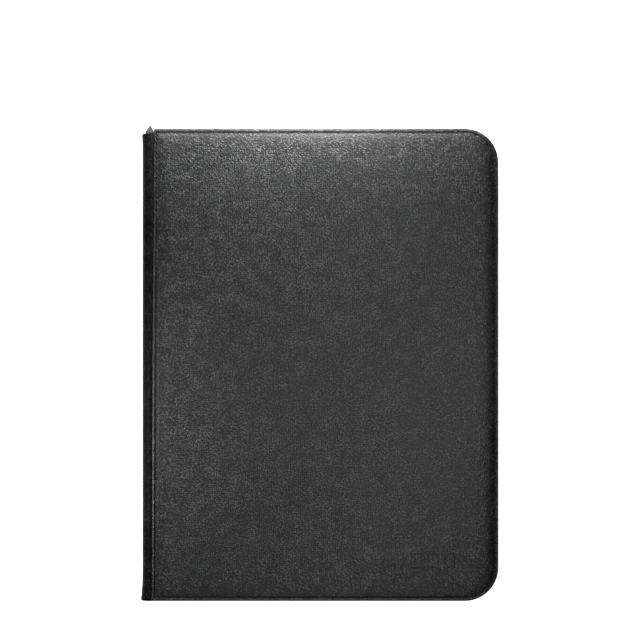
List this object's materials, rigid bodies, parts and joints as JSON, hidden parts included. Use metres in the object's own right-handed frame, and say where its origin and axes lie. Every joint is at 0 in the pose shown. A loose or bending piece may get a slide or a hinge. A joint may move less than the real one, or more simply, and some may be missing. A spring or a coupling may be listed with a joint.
{
  "type": "trading card binder",
  "caption": "Closed zip-round binder with padded leatherette covers, a flat spine and clear nine-pocket card leaves.",
  "frame": {"origin": "centre of the back cover's underside, on the surface that the closed binder lies on", "axes": "+Z from the back cover to the front cover, +Y towards the head, +X towards the fore edge; the spine is at -X"},
  "size_m": [0.266, 0.3555, 0.038],
  "materials": {
    "leatherette": "fine pebble-grained black PU leatherette, semi-matt",
    "foam": "grey polyurethane foam",
    "board": "grey bookbinding board",
    "lining": "black woven lining",
    "zip_tape": "black twill zip tape",
    "zip_coil": "black nylon coil",
    "thread": "black bonded thread",
    "binding_plastic": "black polypropylene",
    "leaf_film": "clear polypropylene pocket film on a black centre sheet",
    "zip_metal": "gunmetal-plated zinc"
  },
  "bodies": {
    "back_cover": {"back_cover_leatherette": "leatherette", "back_cover_foam": "foam", "back_cover_board": "board", "back_cover_lining": "lining", "back_zip_tape_foot": "zip_tape", "back_zip_tape_foot_corner": "zip_tape", "back_zip_tape_fore_edge": "zip_tape", "back_zip_tape_head_corner": "zip_tape", "back_zip_tape_head": "zip_tape", "back_zip_coil": "zip_coil", "back_edge_stitching": "thread", "back_seam_stitching": "thread", "back_zip_stop_head": "zip_metal", "back_zip_stop_foot": "zip_metal"},
    "spine": {"spine_leatherette": "leatherette", "spine_board": "board", "spine_lining": "lining", "binding_strip": "binding_plastic", "leaf_weld_block": "binding_plastic", "front_hinge_fold": "leatherette", "rear_hinge_fold": "leatherette", "head_gusset": "zip_tape", "foot_gusset": "zip_tape"},
    "front_cover": {"front_cover_leatherette": "leatherette", "front_cover_foam": "foam", "front_cover_board": "board", "front_cover_lining": "lining", "front_zip_tape_foot": "zip_tape", "front_zip_tape_foot_corner": "zip_tape", "front_zip_tape_fore_edge": "zip_tape", "front_zip_tape_head_corner": "zip_tape", "front_zip_tape_head": "zip_tape", "front_zip_coil": "zip_coil", "front_edge_stitching": "thread", "front_seam_stitching": "thread", "front_zip_stop_head": "zip_metal", "front_zip_stop_foot": "zip_metal"},
    "zip_slider": {"zip_slider": "zip_metal"},
    "zip_pull": {"zip_pull": "zip_metal"},
    "leaf_01": {"leaf_01": "leaf_film"},
    "leaf_02": {"leaf_02": "leaf_film"},
    "leaf_03": {"leaf_03": "leaf_film"},
    "leaf_04": {"leaf_04": "leaf_film"},
    "leaf_05": {"leaf_05": "leaf_film"},
    "leaf_06": {"leaf_06": "leaf_film"},
    "leaf_07": {"leaf_07": "leaf_film"},
    "leaf_08": {"leaf_08": "leaf_film"},
    "leaf_09": {"leaf_09": "leaf_film"},
    "leaf_10": {"leaf_10": "leaf_film"},
    "leaf_11": {"leaf_11": "leaf_film"},
    "leaf_12": {"leaf_12": "leaf_film"},
    "leaf_13": {"leaf_13": "leaf_film"},
    "leaf_14": {"leaf_14": "leaf_film"},
    "leaf_15": {"leaf_15": "leaf_film"},
    "leaf_16": {"leaf_16": "leaf_film"},
    "leaf_17": {"leaf_17": "leaf_film"},
    "leaf_18": {"leaf_18": "leaf_film"},
    "leaf_19": {"leaf_19": "leaf_film"},
    "leaf_20": {"leaf_20": "leaf_film"}
  },
  "joints": [
    {"name": "rear_hinge", "type": "hinge", "parent": "back_cover", "child": "spine", "pos_m": [-0.1265, 0, 0.0077], "axis": [0, -1, 0], "range_deg": [0, 90], "deforming": ["rear_hinge_fold"]},
    {"name": "front_hinge", "type": "hinge", "parent": "spine", "child": "front_cover", "pos_m": [-0.1265, 0, 0.0303], "axis": [0, -1, 0], "range_deg": [0, 90], "deforming": ["front_hinge_fold"]},
    {"name": "zip_slide", "type": "slide", "parent": "back_cover", "child": "zip_slider", "axis": [1, 0, 0], "range_m": [0, 0.195]},
    {"name": "pull_swing", "type": "hinge", "parent": "zip_slider", "child": "zip_pull", "pos_m": [-0.0985, 0.1748, 0.019], "axis": [0, 0, 1], "range_deg": [0, 180]},
    {"name": "leaf_01_turn", "type": "hinge", "parent": "spine", "child": "leaf_01", "pos_m": [-0.1245, 0, 0.00713], "axis": [0, -1, 0], "range_deg": [-90, 90]},
    {"name": "leaf_02_turn", "type": "hinge", "parent": "spine", "child": "leaf_02", "pos_m": [-0.1245, 0, 0.00838], "axis": [0, -1, 0], "range_deg": [-90, 90]},
    {"name": "leaf_03_turn", "type": "hinge", "parent": "spine", "child": "leaf_03", "pos_m": [-0.1245, 0, 0.00962], "axis": [0, -1, 0], "range_deg": [-90, 90]},
    {"name": "leaf_04_turn", "type": "hinge", "parent": "spine", "child": "leaf_04", "pos_m": [-0.1245, 0, 0.01087], "axis": [0, -1, 0], "range_deg": [-90, 90]},
    {"name": "leaf_05_turn", "type": "hinge", "parent": "spine", "child": "leaf_05", "pos_m": [-0.1245, 0, 0.01213], "axis": [0, -1, 0], "range_deg": [-90, 90]},
    {"name": "leaf_06_turn", "type": "hinge", "parent": "spine", "child": "leaf_06", "pos_m": [-0.1245, 0, 0.01337], "axis": [0, -1, 0], "range_deg": [-90, 90]},
    {"name": "leaf_07_turn", "type": "hinge", "parent": "spine", "child": "leaf_07", "pos_m": [-0.1245, 0, 0.01463], "axis": [0, -1, 0], "range_deg": [-90, 90]},
    {"name": "leaf_08_turn", "type": "hinge", "parent": "spine", "child": "leaf_08", "pos_m": [-0.1245, 0, 0.01588], "axis": [0, -1, 0], "range_deg": [-90, 90]},
    {"name": "leaf_09_turn", "type": "hinge", "parent": "spine", "child": "leaf_09", "pos_m": [-0.1245, 0, 0.01713], "axis": [0, -1, 0], "range_deg": [-90, 90]},
    {"name": "leaf_10_turn", "type": "hinge", "parent": "spine", "child": "leaf_10", "pos_m": [-0.1245, 0, 0.01837], "axis": [0, -1, 0], "range_deg": [-90, 90]},
    {"name": "leaf_11_turn", "type": "hinge", "parent": "spine", "child": "leaf_11", "pos_m": [-0.1245, 0, 0.01963], "axis": [0, -1, 0], "range_deg": [-90, 90]},
    {"name": "leaf_12_turn", "type": "hinge", "parent": "spine", "child": "leaf_12", "pos_m": [-0.1245, 0, 0.02088], "axis": [0, -1, 0], "range_deg": [-90, 90]},
    {"name": "leaf_13_turn", "type": "hinge", "parent": "spine", "child": "leaf_13", "pos_m": [-0.1245, 0, 0.02212], "axis": [0, -1, 0], "range_deg": [-90, 90]},
    {"name": "leaf_14_turn", "type": "hinge", "parent": "spine", "child": "leaf_14", "pos_m": [-0.1245, 0, 0.02337], "axis": [0, -1, 0], "range_deg": [-90, 90]},
    {"name": "leaf_15_turn", "type": "hinge", "parent": "spine", "child": "leaf_15", "pos_m": [-0.1245, 0, 0.02463], "axis": [0, -1, 0], "range_deg": [-90, 90]},
    {"name": "leaf_16_turn", "type": "hinge", "parent": "spine", "child": "leaf_16", "pos_m": [-0.1245, 0, 0.02587], "axis": [0, -1, 0], "range_deg": [-90, 90]},
    {"name": "leaf_17_turn", "type": "hinge", "parent": "spine", "child": "leaf_17", "pos_m": [-0.1245, 0, 0.02712], "axis": [0, -1, 0], "range_deg": [-90, 90]},
    {"name": "leaf_18_turn", "type": "hinge", "parent": "spine", "child": "leaf_18", "pos_m": [-0.1245, 0, 0.02838], "axis": [0, -1, 0], "range_deg": [-90, 90]},
    {"name": "leaf_19_turn", "type": "hinge", "parent": "spine", "child": "leaf_19", "pos_m": [-0.1245, 0, 0.02962], "axis": [0, -1, 0], "range_deg": [-90, 90]},
    {"name": "leaf_20_turn", "type": "hinge", "parent": "spine", "child": "leaf_20", "pos_m": [-0.1245, 0, 0.03087], "axis": [0, -1, 0], "range_deg": [-90, 90]}
  ],
  "couplings": [
    {"joint": "leaf_01_turn", "follows": "rear_hinge", "ratio": -0.91111},
    {"joint": "leaf_02_turn", "follows": "rear_hinge", "ratio": -0.85556},
    {"joint": "leaf_03_turn", "follows": "rear_hinge", "ratio": -0.81667},
    {"joint": "leaf_04_turn", "follows": "rear_hinge", "ratio": -0.77778},
    {"joint": "leaf_05_turn", "follows": "rear_hinge", "ratio": -0.73889},
    {"joint": "leaf_06_turn", "follows": "rear_hinge", "ratio": -0.7},
    {"joint": "leaf_07_turn", "follows": "rear_hinge", "ratio": -0.66111},
    {"joint": "leaf_08_turn", "follows": "rear_hinge", "ratio": -0.62222},
    {"joint": "leaf_09_turn", "follows": "rear_hinge", "ratio": -0.58333},
    {"joint": "leaf_10_turn", "follows": "rear_hinge", "ratio": -0.54444},
    {"joint": "leaf_11_turn", "follows": "front_hinge", "ratio": 0.54444},
    {"joint": "leaf_12_turn", "follows": "front_hinge", "ratio": 0.58333},
    {"joint": "leaf_13_turn", "follows": "front_hinge", "ratio": 0.62222},
    {"joint": "leaf_14_turn", "follows": "front_hinge", "ratio": 0.66111},
    {"joint": "leaf_15_turn", "follows": "front_hinge", "ratio": 0.7},
    {"joint": "leaf_16_turn", "follows": "front_hinge", "ratio": 0.73889},
    {"joint": "leaf_17_turn", "follows": "front_hinge", "ratio": 0.77778},
    {"joint": "leaf_18_turn", "follows": "front_hinge", "ratio": 0.81667},
    {"joint": "leaf_19_turn", "follows": "front_hinge", "ratio": 0.85556},
    {"joint": "leaf_20_turn", "follows": "front_hinge", "ratio": 0.91111}
  ]
}
